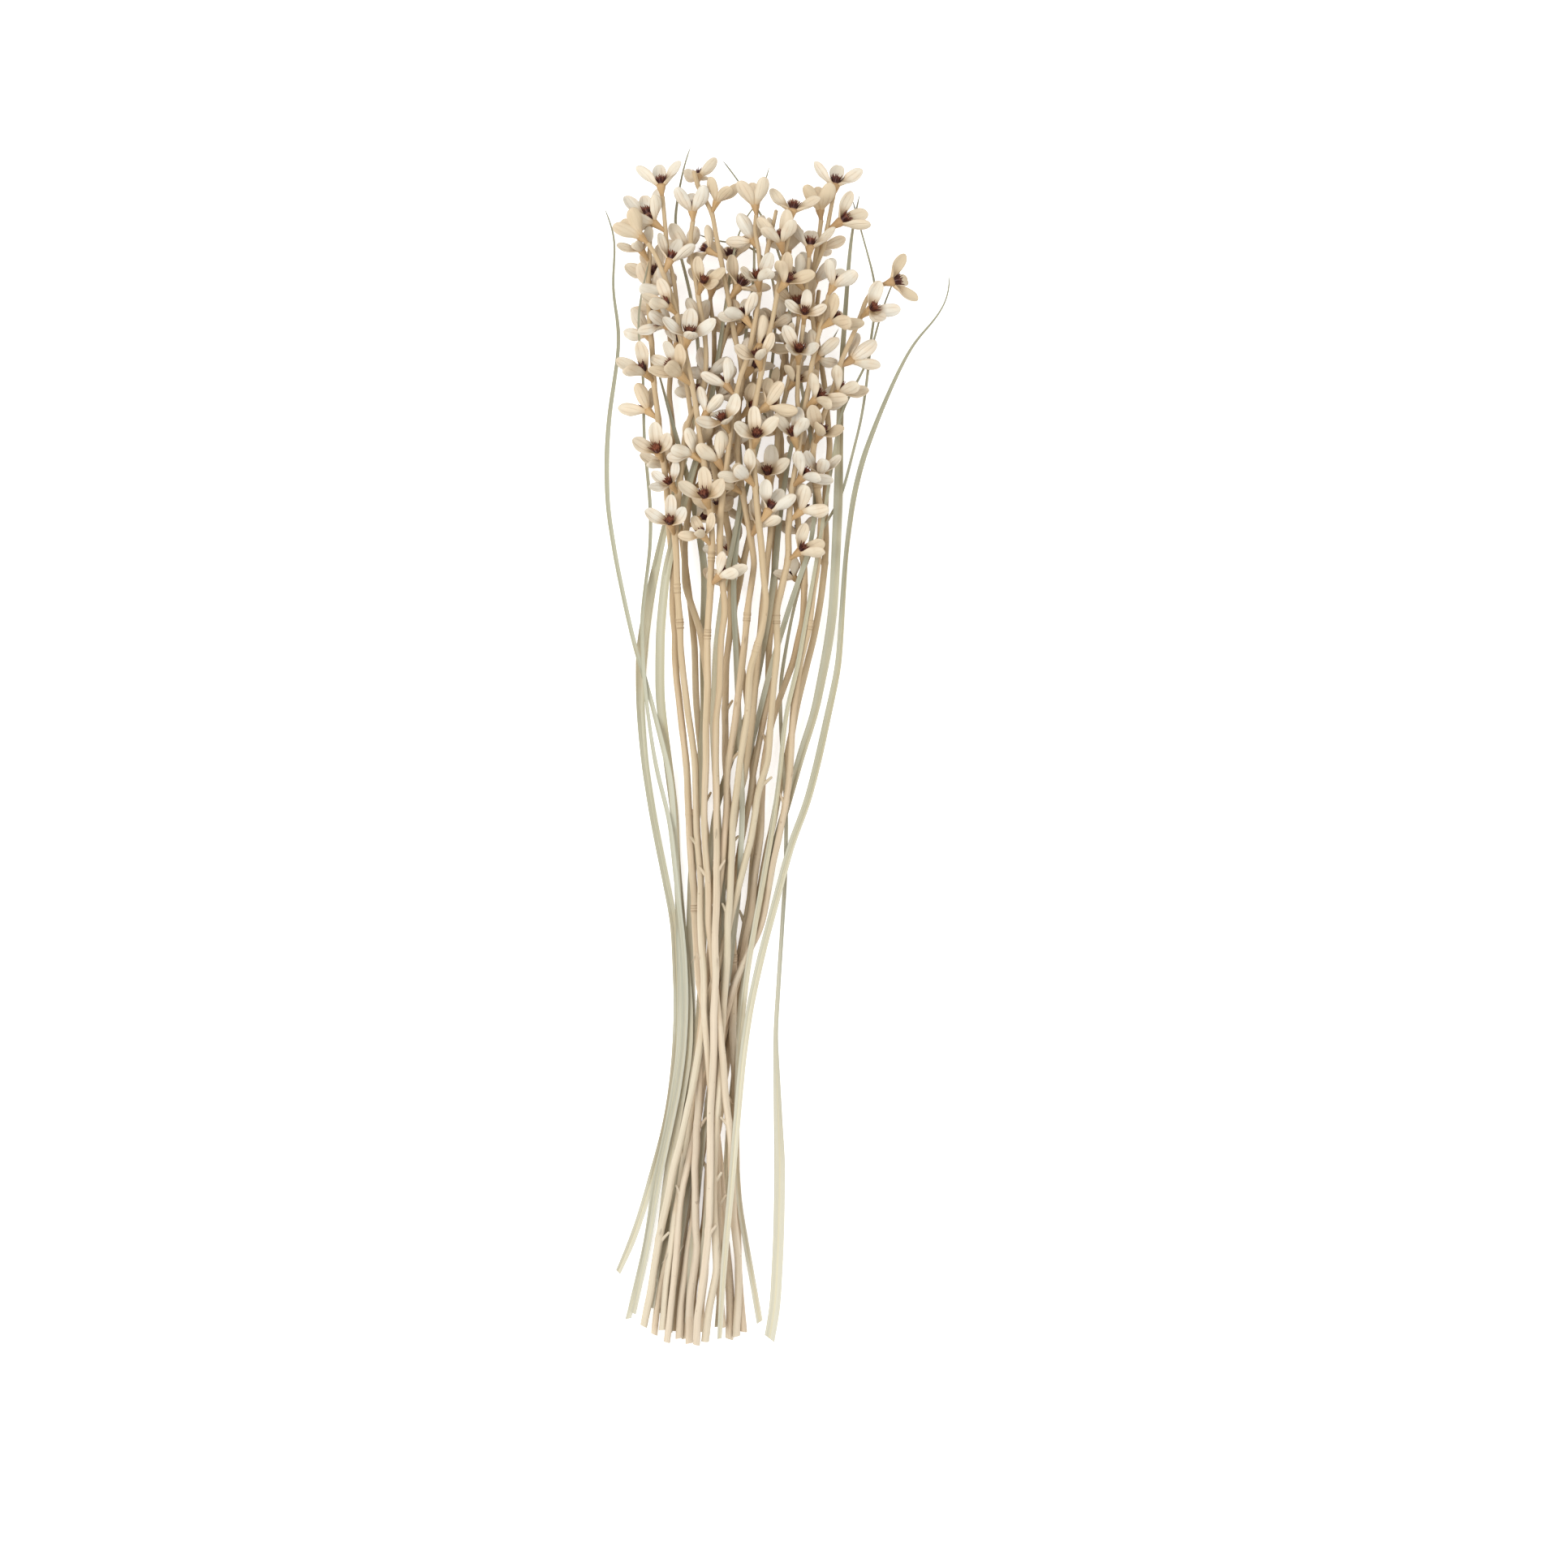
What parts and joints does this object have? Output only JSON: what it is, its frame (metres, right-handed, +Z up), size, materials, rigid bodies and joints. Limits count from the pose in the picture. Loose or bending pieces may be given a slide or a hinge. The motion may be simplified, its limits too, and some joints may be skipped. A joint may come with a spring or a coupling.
{
  "type": "dried foliage branch bouquet",
  "caption": "Loose bunch of dried branches with open seed capsules and flat grass blades, lying on its side.",
  "frame": {"origin": "centre of the bunch's bounding box, on the surface it lies on", "axes": "+Y along the bunch from the cut ends to the heads, +X across it to the right as seen from above with the heads up, +Z up"},
  "size_m": [0.2032, 0.7002, 0.0698],
  "materials": {
    "dried_branch": "matt, dry bark",
    "dried_grass": "matt, dry leaf"
  },
  "bodies": {
    "root": {"branch_01": "dried_branch", "branch_02": "dried_branch", "branch_03": "dried_branch", "branch_04": "dried_branch", "branch_05": "dried_branch", "branch_06": "dried_branch", "branch_07": "dried_branch", "branch_08": "dried_branch", "branch_09": "dried_branch", "branch_10": "dried_branch", "branch_11": "dried_branch", "branch_12": "dried_branch", "branch_13": "dried_branch", "branch_14": "dried_branch", "branch_15": "dried_branch", "branch_16": "dried_branch", "grass_01": "dried_grass", "grass_02": "dried_grass", "grass_03": "dried_grass", "grass_04": "dried_grass", "grass_05": "dried_grass", "grass_06": "dried_grass", "grass_07": "dried_grass", "grass_08": "dried_grass", "grass_09": "dried_grass", "grass_10": "dried_grass", "grass_11": "dried_grass", "grass_12": "dried_grass", "grass_13": "dried_grass"}
  },
  "joints": []
}
